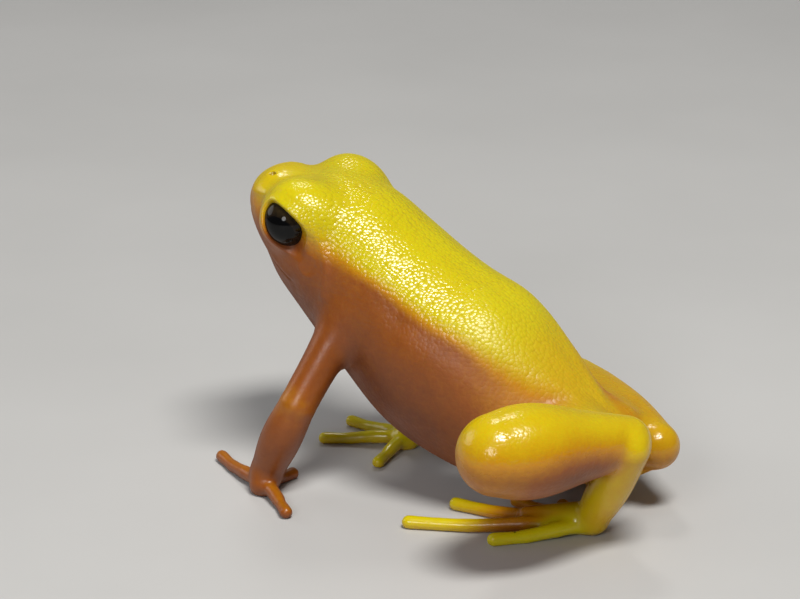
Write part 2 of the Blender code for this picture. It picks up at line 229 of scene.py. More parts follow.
def relief(ax, s, n):
    """How far the body's skin stands out, from muscles, bones and folds, mm."""
    a = round_angle(ax, s, n)
    out = np.zeros(len(s))
    # back: sacral hump, hip bones running to the vent, faint spine
    out += 0.13 * bell((a - 62) / 17) * bell((s - 8.6) / 1.5)
    out += 0.10 * bell((a - (50 + 4.0 * (8.6 - s))) / 9) * ease((s - 1.2) / 2.0) * ease((9.0 - s) / 3.0)
    out -= 0.07 * bell((a - 90) / 11) * bell((s - 11.5) / 3.2)
    out += 0.05 * bell((a - 90) / 9) * bell((s - 5.0) / 2.2)
    # shoulder blade and the muscle behind it
    out += 0.12 * bell((a - 38) / 20) * bell((s - 14.6) / 1.5)
    out -= 0.07 * bell((a - 22) / 16) * bell((s - 12.6) / 0.9)
    # ridge between back and flank
    edge = a - flank_edge(s)
    out += 0.07 * bell((edge - 5) / 7) * ease((s - 3.0) / 2.0) * ease((15.5 - s) / 3.0)
    out -= 0.09 * bell((edge + 8) / 9) * ease((s - 3.0) / 2.0) * ease((15.5 - s) / 3.0)
    # flank folds, fanning forward from the groin
    for k, base in enumerate((-14.0, -34.0)):
        line = base + 3.2 * (s - 6.0)
        out -= 0.045 * bell((a - line) / 5.5) * bell((s - 6.0 - 0.4 * k) / 2.2)
    # fold in front of the arm, across the throat
    out -= 0.07 * bell((s - (16.4 + 0.9 * bell((a + 90) / 35))) / 0.28) * ease((5 - a) / 40)
    # fold from the eye down behind the ear, and the ear's drum
    fold = polyline_distance(s, n, ((18.75, 2.35), (17.9, 1.75), (17.15, 0.75), (16.8, -0.6)))
    out += 0.09 * bell(fold / 0.26) * ease((ax - 1.5) / 1.0)
    drum = np.hypot(s - 18.15, (n - 0.42) * 0.95)
    side = ease((ax - 2.4) / 0.8)
    out += side * (0.028 * bell((drum - 0.56) / 0.13) - 0.045 * bell(drum / 0.44))
    # cheek below the eye, hollow in front of it, edge of the snout
    out -= 0.15 * bell((s - 22.0) / 0.75) * bell((n - 0.85) / 0.62) * side_of_snout(ax, s)
    edge = polyline_distance(s, n, ((21.3, 2.30), (22.2, 2.05), (23.1, 1.62), (23.6, 1.25)))
    out += 0.08 * bell(edge / 0.24) * side_of_snout(ax, s)
    # mouth: a slit, the lower jaw set back a little under the upper lip
    gape = ease((s - 18.7) / 0.5)
    gap = n - mouth_line(s)
    out -= 0.13 * bell(gap / 0.075) * gape
    out -= 0.07 * ease(-gap / 0.10) * ease((gap + 1.3) / 0.9) * gape
    out += 0.05 * bell((gap - 0.26) / 0.16) * gape
    corner = np.hypot(s - 18.75, gap)
    out -= 0.06 * bell(corner / 0.30) * side
    # vent
    out -= 0.16 * bell(np.hypot(ax, (n + 0.75)) / 0.30) * ease((1.6 - s) / 1.0)
    return out


def side_of_snout(ax, s):
    return ease((ax - 0.35 * np.interp(s, ALONG, WIDTH) * np.sqrt(np.maximum((s - S0) * (S1 - s), 0))) / 0.6)


EDGE_ALONG = np.linspace(0.0, 24.0, 241)
EDGE_ANGLE = softened(np.interp(EDGE_ALONG, (0.5, 2.2, 3.7, 5.0, 6.0, 8.0, 12.0, 14.0, 16.0, 18.0, 20.0, 21.5, 24.0),
                                (66.0, 62.0, 55.0, 49.0, 45.0, 40.0, 38.0, 35.0, 29.0, 24.0, 20.0, 13.0, 6.0)), 0.5, 0.1)


def flank_edge(s):
    """Angle round the body of the line where the bright back meets the darker flank."""
    return np.interp(s, EDGE_ALONG, EDGE_ANGLE)


# ---------------------------------------------------------------- tubes and blends
FAR = 1.7


def smin(a, b, k):
    """The nearer of two distances, with a fillet of about k."""
    h = np.clip(0.5 + 0.5 * (b - a) / k, 0, 1)
    return b + (a - b) * h - k * h * (1 - h)


def smax(a, b, k):
    return -smin(-a, -b, k)


class Tube:
    """A tapering round tube along a path. Distances past FAR are cut to it."""

    def __init__(self, points, radii, spans=12):
        self.path = smooth_path(points, spans) if spans > 1 else np.asarray(points, float)
        self.radius = hermite(np.arange(len(radii)), radii, np.linspace(0, len(radii) - 1, len(self.path)))
        reach = self.radius[:, None] + FAR
        self.low, self.high = (self.path - reach).min(0), (self.path + reach).max(0)

    def __call__(self, p):
        out = np.full(len(p), FAR)
        near = np.flatnonzero(np.all((p > self.low) & (p < self.high), axis=1))
        if len(near):
            q = p[near]
            best = np.full(len(q), 1e9)
            for i in range(len(self.path) - 1):
                a = self.path[i]
                d = self.path[i + 1] - a
                r = q - a
                t = np.clip(r @ d / (d @ d), 0, 1)
                gap = np.sqrt(np.einsum("ij,ij->i", r, r) - 2 * t * (r @ d) + t * t * (d @ d) + 1e-12)
                gap -= self.radius[i] + t * (self.radius[i + 1] - self.radius[i])
                np.minimum(best, gap, out=best)
            out[near] = np.minimum(best, FAR)
        return out


def digit(start, heading, length, sign, radius, lift):
    """One finger or toe: arched, knuckled, with a slightly wider tip that lies on the ground."""
    w = math.radians(heading)
    way = np.array([sign * math.sin(w), -math.cos(w), 0.0])
    bend = np.array([-way[1], way[0], 0.0]) * 0.03 * length * sign
    points, radii = [], []
    joints = (0.38, 0.68) if length > 4 else (0.55,)
    for t in np.linspace(0.0, 1.0, 17):
        rest = 0.29 - 0.01 * t
        height = rest + (lift - rest) * (1 - min(t / 0.7, 1.0)) ** 1.5 + 0.10 * math.sin(math.pi * min(t / 0.7, 1.0))
        p = np.array([start[0], start[1], 0.0]) + way * length * t + bend * math.sin(math.pi * t)
        p[2] = height
        knuckle = sum(0.07 * math.exp(-(((t - j) * length) / 0.30) ** 2) for j in joints)
        neck = -0.05 * math.exp(-(((t - 1) * length + 0.95) / 0.35) ** 2)
        points.append(p)
        radii.append(radius * (1.10 - 0.38 * t + 0.18 * max(0.0, t - 0.70) / 0.3 + knuckle + neck))
    return Tube(points, radii, spans=1)


def limbs_of(side):
    """The tubes of one side, by name."""
    j = {k: at(side[k]) for k in ("shoulder", "elbow", "wrist", "palm", "hip", "knee", "heel", "ankle", "ball")}
    sign = math.copysign(1.0, side["shoulder"][0])
    out, up = np.array([sign, 0.0, 0.0]), np.array([0.0, 0.0, 1.0])
    made = {}
    made["upper_arm"] = Tube((j["shoulder"], (j["shoulder"] + j["elbow"]) / 2 + 0.15 * out, j["elbow"]), (1.30, 1.02, 0.96))
    made["forearm"] = Tube((j["elbow"], (j["elbow"] + j["wrist"]) / 2 + 0.12 * out, j["wrist"]), (0.96, 1.08, 0.86))
    made["palm"] = Tube((j["wrist"], (j["wrist"] + j["palm"]) / 2, j["palm"]), (0.76, 0.84, 0.78), spans=4)
    made["fingers"] = [digit(j["palm"], h, l, sign, FINGER_RADIUS, 0.50) for h, l in side["fingers"]]
    end = j["knee"] - 0.25 * out + at((0, 0.5, -0.15))
    made["thigh"] = Tube((j["hip"], (j["hip"] + end) / 2 - 0.1 * up, end), side["thigh"])
    a, b = j["knee"], j["heel"]
    made["shank"] = Tube((a, a + (b - a) * 0.25, a + (b - a) * 0.62, b), side["calf"])
    made["tarsus"] = Tube((j["ankle"], (j["ankle"] + j["ball"]) / 2 - 0.1 * up, j["ball"]), side["tarsus"])
    w = math.radians(0.5 * (side["toes"][2][0] + side["toes"][3][0]))
    way = np.array([sign * math.sin(w), -math.cos(w), 0.0])
    ball = j["ball"]
    made["sole"] = Tube((ball, ball + way * 1.6 + (0, 0, -0.14), ball + way * 3.3 + (0, 0, -0.24)), (0.88, 0.72, 0.48), spans=5)
    made["toes"] = [digit(ball, h, l, sign, TOE_RADIUS, 0.60) for h, l in side["toes"]]
    made["joints"] = j
    return made


LIMBS = [limbs_of(LEFT), limbs_of(RIGHT)]


# ---------------------------------------------------------------- eyes and lids
def direction(lon, lat):
    lo, la = math.radians(lon), math.radians(lat)
    return np.array([math.cos(la) * math.cos(lo), math.cos(la) * math.sin(lo), math.sin(la)])


GAZE_OUT = direction(*GAZE)                      # in (left, along, above)
GAZE_FRONT = np.array([0.0, 1.0, 0.0]) - GAZE_OUT * GAZE_OUT[1]
GAZE_FRONT /= np.linalg.norm(GAZE_FRONT)
GAZE_UP = np.cross(GAZE_OUT, GAZE_FRONT)


RIM_TURN = np.arange(-540.0, 541.0, 2.0)
_turns, _rims = np.array(OPENING, float).T
RIM = softened(np.interp(RIM_TURN, np.concatenate([_turns - 720, _turns - 360, _turns, _turns + 360, _turns + 720]), np.tile(_rims, 5)), 7.0, 2.0)


def opening(turn):
    """Angle from the gaze to the lids' edge, for a turn round the gaze, radians."""
    return np.radians(np.interp(np.degrees(turn), RIM_TURN, RIM))


def eye_polar(ax, s, n):
    """Distance from the eye's centre, angle from the gaze and turn round it."""
    q = np.stack([ax - EYE_PLACE[0], s - EYE_PLACE[1], n - EYE_PLACE[2]], 1)
    far = np.sqrt((q * q).sum(1)) + 1e-9
    off = np.arccos(np.clip(q @ GAZE_OUT / far, -1, 1))
    return far, off, np.arctan2(q @ GAZE_UP, q @ GAZE_FRONT)


def egg(ax, s, n, place, radii):
    q = np.stack([ax - place[0], s - place[1], n - place[2]], 1) / np.array(radii)
    k0 = np.sqrt((q * q).sum(1)) + 1e-9
    k1 = np.sqrt(((q / np.array(radii)) ** 2).sum(1)) + 1e-9
    return k0 * (k0 - 1) / k1


def surface_height(ax, s):
    """Height above the axis where the upper body surface stands at this place."""
    c, w, d = np.interp(s, ALONG, CENTRE), np.interp(s, ALONG, WIDTH), np.interp(s, ALONG, DEPTH)
    end = math.sqrt((s - S0) * (S1 - s))
    return c + d * end * max(0.0, 1 - (ax / (w * end)) ** 2.6) ** (1 / 2.6)


NOSTRIL = (1.12, 23.10)
NOSTRIL_HEIGHT = surface_height(*NOSTRIL) - 0.10


def head_and_trunk(p):
    x, s, n = body_frame(p)
    ax = np.sqrt(x * x + 1e-4)
    d = body_distance(x, s, n) - relief(ax, s, n)
    head = np.flatnonzero(s > 16.5)
    if len(head):
        hx, hs, hn, hd = ax[head], s[head], n[head], d[head]
        hd = smin(hd, egg(hx, hs, hn, ORBIT_PLACE, ORBIT_RADII), 1.0)
        far, off, turn = eye_polar(hx, hs, hn)
        hd = smin(hd, far - (EYE_RADIUS + LID), 0.55)
        # a shallow crease round the bulge of the lids
        hd += 0.04 * bell((far - EYE_RADIUS - 0.15) / 0.4) * bell((off - opening(turn) - 0.34) / 0.12) * ease(0.5 + np.sin(turn - 0.3))
        # inside the lids the skin dips under the eyeball
        gap = np.maximum((off - opening(turn)) * far, np.maximum(EYE_RADIUS - 0.13 - far, far - EYE_RADIUS - 0.9))
        hd = smax(hd, -gap, 0.10)
        nostril = np.sqrt((hx - NOSTRIL[0]) ** 2 + ((hs - NOSTRIL[1]) * 0.75) ** 2 + (hn - NOSTRIL_HEIGHT) ** 2)
        hd -= 0.02 * bell((nostril - 0.26) / 0.12)
        hd = smax(hd, 0.13 - nostril, 0.10)
        d[head] = hd
    return d


def skin_distance(p):
    """Distance to the whole skin, mm, negative inside."""
    d = np.full(len(p), FAR)
    torso = head_and_trunk(p)
    d = np.minimum(torso, FAR)
    for limb in LIMBS:
        j = limb["joints"]
        d = smin(d, limb["upper_arm"](p), 0.85)
        d = smin(d, limb["forearm"](p), 0.10)
        hand = limb["palm"](p)
        for finger in limb["fingers"]:
            hand = smin(hand, finger(p), 0.26)
        d = smin(d, hand, 0.30)
        knee = np.sqrt(((p - j["knee"]) ** 2).sum(1))
        heel = np.sqrt(((p - j["heel"]) ** 2).sum(1))
        d = smin(d, limb["thigh"](p), 0.80)
        d = smin(d, limb["shank"](p), (0.12 if limb is LIMBS[0] else 0.55) + 0.45 * bell(knee / 1.9))
        d = smin(d, limb["tarsus"](p), 0.09 + 0.50 * bell(heel / 1.6))
        foot = limb["sole"](p)
        for toe in limb["toes"]:
            foot = smin(foot, toe(p), 0.26)
        d = smin(d, foot, 0.22)
    return smax(d, -p[:, 2], 0.06)


def slope(field, p, e=0.02):
    """Gradient by central differences."""
    g = np.empty_like(p)
    for k in range(3):
        step = np.zeros(3)
        step[k] = e
        g[:, k] = (field(p + step) - field(p - step)) / (2 * e)
    return g


# ---------------------------------------------------------------- from the field to a mesh
def lattice(field, low, high, h, coarse=4, reach=0.62):
    """The field on a lattice: exact near the surface, and only right in sign further off."""
    blocks = np.ceil((high - low) / (h * coarse)).astype(int)
    axes = [low[k] + h * coarse * np.arange(blocks[k] + 1) for k in range(3)]
    rough = field(np.stack(np.meshgrid(*axes, indexing="ij"), -1).reshape(-1, 3)).reshape(blocks + 1)
    small, large = rough[:-1, :-1, :-1].copy(), rough[:-1, :-1, :-1].copy()
    for i in (0, 1):
        for j in (0, 1):
            for k in (0, 1):
                corner = rough[i:blocks[0] + i, j:blocks[1] + j, k:blocks[2] + k]
                small, large = np.minimum(small, corner), np.maximum(large, corner)
    near = (small < reach) & (large > -reach)
    fine = near
    value = rough[:-1, :-1, :-1]
    for axis in range(3):
        fine = np.repeat(fine, coarse, axis)
        value = np.repeat(value, coarse, axis)
    shape = blocks * coarse + 1
    wanted = np.zeros(shape, bool)
    for i in (0, 1):
        for j in (0, 1):
            for k in (0, 1):
                wanted[i:shape[0] - 1 + i, j:shape[1] - 1 + j, k:shape[2] - 1 + k] |= fine
    full = np.full(shape, 1.0)
    full[:-1, :-1, :-1] = np.where(value < 0, -1.0, 1.0)
    index = np.argwhere(wanted)
    full[wanted] = field(low + h * index)
    return full


def surface_net(value, low, h):
    """Points and quads where the lattice changes sign."""
    inside = value < 0
    cells = np.array(value.shape) - 1
    owners, places, quads = [], [], []
    for axis in range(3):
        a, b = [slice(None)] * 3, [slice(None)] * 3
        a[axis], b[axis] = slice(0, -1), slice(1, None)
        i = np.argwhere(inside[tuple(a)] != inside[tuple(b)])
        j = i.copy()
        j[:, axis] += 1
        f0, f1 = value[tuple(i.T)], value[tuple(j.T)]
        point = i.astype(float)
        point[:, axis] += f0 / (f0 - f1)
        u, w = (axis + 1) % 3, (axis + 2) % 3
        around = []
        for du, dw in ((0, 0), (-1, 0), (-1, -1), (0, -1)):
            cell = i.copy()
            cell[:, u] += du
            cell[:, w] += dw
            around.append((cell[:, 0] * cells[1] + cell[:, 1]) * cells[2] + cell[:, 2])
            owners.append(around[-1])
            places.append(point)
        quad = np.stack(around, 1)
        flip = ~inside[tuple(i.T)]
        quad[flip] = quad[flip, ::-1]
        quads.append(quad)
    owner, place = np.concatenate(owners), np.concatenate(places)
    names, index = np.unique(owner, return_inverse=True)
    count = np.bincount(index)
    points = np.stack([np.bincount(index, place[:, k]) / count for k in range(3)], 1)
    quads = np.searchsorted(names, np.concatenate(quads))
    return low + h * points, quads


def to_triangles(points, quads):
    """Each quad cut along its shorter diagonal."""
    a = np.linalg.norm(points[quads[:, 0]] - points[quads[:, 2]], axis=1)
    b = np.linalg.norm(points[quads[:, 1]] - points[quads[:, 3]], axis=1)
    one, two = quads[a <= b], quads[a > b]
    return np.concatenate([one[:, [0, 1, 2]], one[:, [0, 2, 3]], two[:, [0, 1, 3]], two[:, [1, 2, 3]]])


def refine(points, tris, wanted):
    """Halves each edge that is longer than wanted says there."""
    ends = np.sort(np.concatenate([tris[:, [0, 1]], tris[:, [1, 2]], tris[:, [2, 0]]]), axis=1)
    key, index = np.unique(ends[:, 0] * np.int64(len(points)) + ends[:, 1], return_inverse=True)
    a, b = key // len(points), key % len(points)
    middle = (points[a] + points[b]) / 2
    split = np.linalg.norm(points[a] - points[b], axis=1) > wanted(middle)
    ids = np.full(len(key), -1, np.int64)
    ids[split] = len(points) + np.arange(split.sum())
    points = np.concatenate([points, middle[split]])
    m = ids[index].reshape(3, -1).T
    count = (m >= 0).sum(1)
    out = [tris[count == 0]]
    full = count == 3
    t, q = tris[full], m[full]
    out += [np.stack(c, 1) for c in (
        (t[:, 0], q[:, 0], q[:, 2]), (q[:, 0], t[:, 1], q[:, 1]), (q[:, 2], q[:, 1], t[:, 2]), (q[:, 0], q[:, 1], q[:, 2]))]
    for k in range(3):
        roll = [(k + i) % 3 for i in range(3)]
        t, q = tris[:, roll], m[:, roll]
        one = (count == 1) & (q[:, 0] >= 0)
        out += [np.stack((t[one, 0], q[one, 0], t[one, 2]), 1), np.stack((q[one, 0], t[one, 1], t[one, 2]), 1)]
        two = (count == 2) & (q[:, 0] >= 0) & (q[:, 1] >= 0)
        out += [np.stack((q[two, 0], t[two, 1], q[two, 1]), 1), np.stack((t[two, 0], q[two, 0], q[two, 1]), 1),
                np.stack((t[two, 0], q[two, 1], t[two, 2]), 1)]
    return points, np.concatenate(out)


def relax(points, tris, field, rounds, limit):
    """Evens the mesh out along the surface and draws it onto the field's zero."""
    pairs = np.concatenate([tris[:, [0, 1]], tris[:, [1, 2]], tris[:, [2, 0]]])
    pairs = np.unique(np.sort(pairs, axis=1), axis=0)
    a, b = np.concatenate([pairs[:, 0], pairs[:, 1]]), np.concatenate([pairs[:, 1], pairs[:, 0]])
    count = np.maximum(np.bincount(a, minlength=len(points)), 1)
    for step in range(rounds):
        g = slope(field, points)
        size = np.linalg.norm(g, axis=1)
        normal = g / np.maximum(size, 1e-6)[:, None]
        value = field(points)
        if step < rounds - 1:
            mean = np.stack([np.bincount(a, points[b, k], len(points)) / count for k in range(3)], 1)
            move = 0.6 * (mean - points)
            move -= normal * np.einsum("ij,ij->i", move, normal)[:, None]
        else:
            move = 0.0
        pull = np.clip(value / np.maximum(size, 0.35), -limit, limit)
        points = points + move - normal * pull[:, None]
    return points, normal


def edge_wanted(p):
    """How long an edge of the skin may be, by place."""
    x, s, n = body_frame(p)
    ax = np.abs(x)
    want = np.full(len(p), 0.30)
    head = s > 17.5
    far, off, turn = eye_polar(ax, s, n)
    rim = np.abs((off - opening(turn)) * far)
    want = np.where((far < EYE_RADIUS + 0.6) & (rim < 0.25), FINE, want)
    want = np.where(head & (np.abs(n - mouth_line(s)) < 0.20) & (s > 18.2), FINE * 1.1, want)
    nostril = np.sqrt((ax - NOSTRIL[0]) ** 2 + (s - NOSTRIL[1]) ** 2 + (n - NOSTRIL_HEIGHT) ** 2)
    want = np.where(nostril < 0.42, FINE, want)
    drum = np.hypot(s - 18.15, n - 0.42)
    want = np.where((drum < 0.8) & (ax > 2.8), 0.10, want)
    return want


def skin_mesh():
    low, high = np.array([-10.6, -14.1, -0.45]), np.array([12.1, 12.9, 16.9])
    value = lattice(skin_distance, low, high, MESH)
    points, quads = surface_net(value, low, MESH)
    tris = to_triangles(points, quads)
    points, _ = relax(points, tris, skin_distance, 3, 0.08)
    points, tris = refine(points, tris, edge_wanted)
    points, tris = refine(points, tris, edge_wanted)
    points, normal = relax(points, tris, skin_distance, 3, 0.05)
    return points, tris, normal


# ---------------------------------------------------------------- what the skin's colours follow
def bend_noise(points, size, seed):
    return np.array([noise.noise(Vector(p)) for p in points / size + seed * 17.3])


def skin_marks(points, normal):
    """Per point: tone 0 to 1 from dark orange to lemon, with painted shade worked in, grain of the granules, depth
    of creases for the painted crease shade, dryness.
    """
    x, s, n = body_frame(points)
    ax = np.abs(x)
    torso = head_and_trunk(points)
    best = np.full(len(points), FAR)
    tone = np.zeros(len(points))
    grain = np.zeros(len(points))
    a = round_angle(ax, s, n)
    # back and flank: a lemon back over a darker orange flank. The flank's darkness is partly the skin's own orange
    # and partly painted shade under light from above
    soft = 7.5 + 8.0 * ease((s - 15.0) / 3.0) + 6.0 * ease((9.0 - s) / 4.0) + 13.0 * ease((s - 20.2) / 1.6)
    back = ease(0.5 + (a - flank_edge(s)) / (2 * soft))
    # darker further down the flank and under the belly: painted shade
    low = ease((flank_edge(s) - a - 10) / 60)
    body_tone = (0.24 - 0.20 * low) + (0.74 + 0.02 * low) * back + 0.14 * (1 - back) * ease((10.0 - s) / 5.0)
    snout = ease((s - 20.6) / 2.6)
    rump = ease((9.0 - s) / 6.0)
    body_tone -= back * (0.12 * snout + 0.26 * rump)
    body_tone = smax(body_tone, snout * (0.22 + 0.34 * ease((n - mouth_line(s) + 0.2) / 2.4)), 0.15)
    body_grain = 0.34 + 0.66 * back * (1 - 0.45 * rump)
    body_grain *= 1 - 0.30 * ease((s - 18.4) / 1.6) - 0.48 * ease((s - 20.6) / 1.6)
    tone[:], grain[:] = body_tone, body_grain
    matt = ease((11.5 - s) / 5.0) * ease(s / 2.0)
    # facing up: the limbs' tones rise with it, painted shade that makes their tops lighter and their undersides
    # darker
    up = normal[:, 2]
    for limb, near_side in zip(LIMBS, (True, False)):
        j = limb["joints"]
        arm = np.minimum(limb["upper_arm"](points), limb["forearm"](points))
        elbow = np.sqrt(((points - j["elbow"]) ** 2).sum(1))
        # arm: dark orange, a little lighter facing up as painted shade, with a yellow patch at the elbow
        arm_tone = 0.15 + 0.06 * up + 0.22 * bell(elbow / 1.3)
        hand = limb["palm"](points)
        for finger in limb["fingers"]:
            hand = np.minimum(hand, finger(points))
        # hand: dark on the near side and yellow on the far side, lighter facing up: painted shade and painted light
        # on one skin
        hand_tone = (0.18 if near_side else 0.86) + 0.14 * up
        thigh = limb["thigh"](points)
        shank = limb["shank"](points)
        knee = np.sqrt(((points - j["knee"]) ** 2).sum(1))
        heel = np.sqrt(((points - j["heel"]) ** 2).sum(1))
        # legs: yellow on top and orange below, partly the skin's own orange and partly painted shade; the far leg
        # and its heel end darker, painted shade
        leg_tone = (0.13 if near_side else 0.10) + (0.69 if near_side else 0.56) * ease(0.31 + 0.74 * up)
        end_tone = 0.80 if near_side else 0.58
        shank_tone = leg_tone + (0.86 - leg_tone) * 0.9 * bell(knee / 1.95) + (end_tone - leg_tone) * 0.8 * bell(heel / 2.1)
        tarsus = limb["tarsus"](points)
        # tarsus: lighter facing up and facing outwards, painted light and shade
        tarsus_tone = 0.74 + 0.18 * up + 0.06 * normal[:, 0] * math.copysign(1, j["heel"][0])
        foot = limb["sole"](points)
        for toe in limb["toes"]:
            foot = np.minimum(foot, toe(points))
        tip = np.sqrt(((points - j["ball"]) ** 2)[:, :2].sum(1))
        # foot: lighter facing up; the toes darker about 4 mm out from the ball, painted shadow of the body; the
        # outer toe lit yellow, painted light
        foot_tone = 0.84 + 0.12 * up - 0.52 * bell((tip - 3.9) / 2.1)
        outer_toe = limb["toes"][-1](points)
        foot_tone += (0.98 - foot_tone) * ease(0.5 + (foot - outer_toe + 0.25) / 0.5)
        for d, t, gr, w in ((arm, arm_tone, 0.14, 0.5), (hand, hand_tone, 0.08, 0.3), (thigh, leg_tone, 0.30, 0.7),
                            (shank, shank_tone, 0.34, 0.22), (tarsus, tarsus_tone, 0.16, 0.7), (foot, foot_tone, 0.08, 0.3)):
            share = ease(0.5 + (np.minimum(torso if d is arm or d is thigh else best, FAR) - d) / (2 * w)) * ease((FAR - d) / 0.5)
            tone += (t - tone) * share
            grain += (gr - grain) * share
            matt -= matt * share
            best = np.minimum(best, d)
            if d is arm or d is thigh:
                best = np.minimum(best, torso)
    # the lids' edge is dark
    far, off, turn = eye_polar(ax, s, n)
    edge = bell((off - opening(turn)) * EYE_RADIUS / 0.07) * ease((EYE_RADIUS + 0.5 - far) / 0.3)
    tone -= 0.08 * edge
    grain *= 1 - edge
    # depth of creases, how much of the space just outside is filled; it darkens the colour as painted shade in
    # creases
    crease_shade = np.zeros(len(points))
    for reach in (0.25, 0.6):
        crease_shade += 0.5 * np.clip(1 - skin_distance(points + normal * reach) / reach, 0, 1)
    return np.clip(tone, 0, 1), np.clip(grain, 0, 1), crease_shade, np.clip(matt, 0, 1)


# ---------------------------------------------------------------- objects
def world(points):
    """Millimetres in the frog's own frame as metres in the row frame."""
    return (points + at((CENTRE_SHIFT[0], CENTRE_SHIFT[1], 0.0))) * 0.001


def mesh_object(name, points, faces, attributes):
    mesh = bpy.data.meshes.new(name)
    mesh.from_pydata([], [], [])
    mesh.vertices.add(len(points))
    mesh.vertices.foreach_set("co", world(points).astype(np.float32).ravel())
    width = faces.shape[1]
    mesh.loops.add(faces.size)
    mesh.loops.foreach_set("vertex_index", faces.astype(np.int32).ravel())
    mesh.polygons.add(len(faces))
    mesh.polygons.foreach_set("loop_start", np.arange(0, faces.size, width, dtype=np.int32))
    mesh.update(calc_edges=True)
    mesh.validate()
    for key, values in attributes.items():
        layer = mesh.attributes.new(key, "FLOAT", "POINT")
        layer.data.foreach_set("value", np.asarray(values, np.float32))
    mesh.shade_smooth()
    obj = bpy.data.objects.new(name, mesh)
    bpy.context.scene.collection.objects.link(obj)
    return obj


def eye_mesh(sign):
    """An eyeball with a clear bulge over the iris. Its attributes say how far a point is from the pupil."""
    rows, turns = 56, 72
    off = np.concatenate([np.linspace(0.0, 1.0, 34)[1:] * 1.35, 1.35 + np.linspace(0.0, 1.0, rows - 32)[1:-1] * (math.pi - 1.35)])
    points, share = [np.zeros(2)], []
    turn = np.arange(turns) * 2 * math.pi / turns
    grid = [(0.0, 0.0)] + [(o, t) for o in off for t in turn] + [(math.pi, 0.0)]
    grid = np.array(grid)
    o, t = grid[:, 0], grid[:, 1]
    radius = EYE_RADIUS * (1 - 0.0) + 0.055 * bell(o / 0.62) - 0.02
    way = np.cos(o)[:, None] * GAZE_OUT + np.sin(o)[:, None] * (np.cos(t)[:, None] * GAZE_FRONT + np.sin(t)[:, None] * GAZE_UP)
    local = np.array(EYE_PLACE) + radius[:, None] * way
    local[:, 0] *= sign
    points = at(VENT) + local[:, :1] * np.array([1.0, 0, 0]) + local[:, 1:2] * AXIS + local[:, 2:] * DORSAL
    faces = []
    count = len(off)
    for k in range(turns):
        l = (k + 1) % turns
        faces.append((0, 1 + k, 1 + l))
        for i in range(count - 1):
            a, b = 1 + i * turns, 1 + (i + 1) * turns
            faces += [(a + k, b + k, b + l), (a + k, b + l, a + l)]
        last = 1 + (count - 1) * turns
        faces.append((last + k, len(points) - 1, last + l))
    faces = np.array(faces)
    if sign < 0:
        faces = faces[:, ::-1]
    across, above = o * np.cos(t), o * np.sin(t)
    pupil = np.hypot(across / 0.62, above / 0.42)
    return points, faces, {"pupil": pupil, "off": o / 1.35, "above": above}


# ---------------------------------------------------------------- materials
def nodes_of(name):
    mat = bpy.data.materials.new(name)
    mat.use_nodes = True
    tree = mat.node_tree
    return mat, tree, tree.nodes["Principled BSDF"]


def add(tree, kind, **settings):
    node = tree.nodes.new(kind)
    for key, value in settings.items():
        if key == "inputs":
            for name, given in value.items():
                if hasattr(given, "is_output"):
                    tree.links.new(given, node.inputs[name])
                else:
                    node.inputs[name].default_value = given
        else:
            setattr(node, key, value)
    return node


def attribute(tree, name):
    return add(tree, "ShaderNodeAttribute", attribute_name=name).outputs["Fac"]


def maths(tree, operation, a, b=0.0, clamp=False):
    return add(tree, "ShaderNodeMath", operation=operation, use_clamp=clamp, inputs={0: a, 1: b}).outputs[0]


def ramp(tree, value, stops, interpolation="EASE"):
    node = add(tree, "ShaderNodeValToRGB", inputs={"Fac": value})
    node.color_ramp.interpolation = interpolation
    elements = node.color_ramp.elements
    while len(elements) < len(stops):
        elements.new(0.5)
    for element, (place, colour) in zip(elements, stops):
        element.position = place
        element.color = (*colour, 1.0)
    return node.outputs["Color"]


def blend(tree, share, a, b, mode="MIX"):
    node = add(tree, "ShaderNodeMix", data_type="RGBA", blend_type=mode)
    for socket, given in ((node.inputs[0], share), (node.inputs[6], a), (node.inputs[7], b)):
        if hasattr(given, "is_output"):
            tree.links.new(given, socket)
        else:
            socket.default_value = given
    return node.outputs[2]


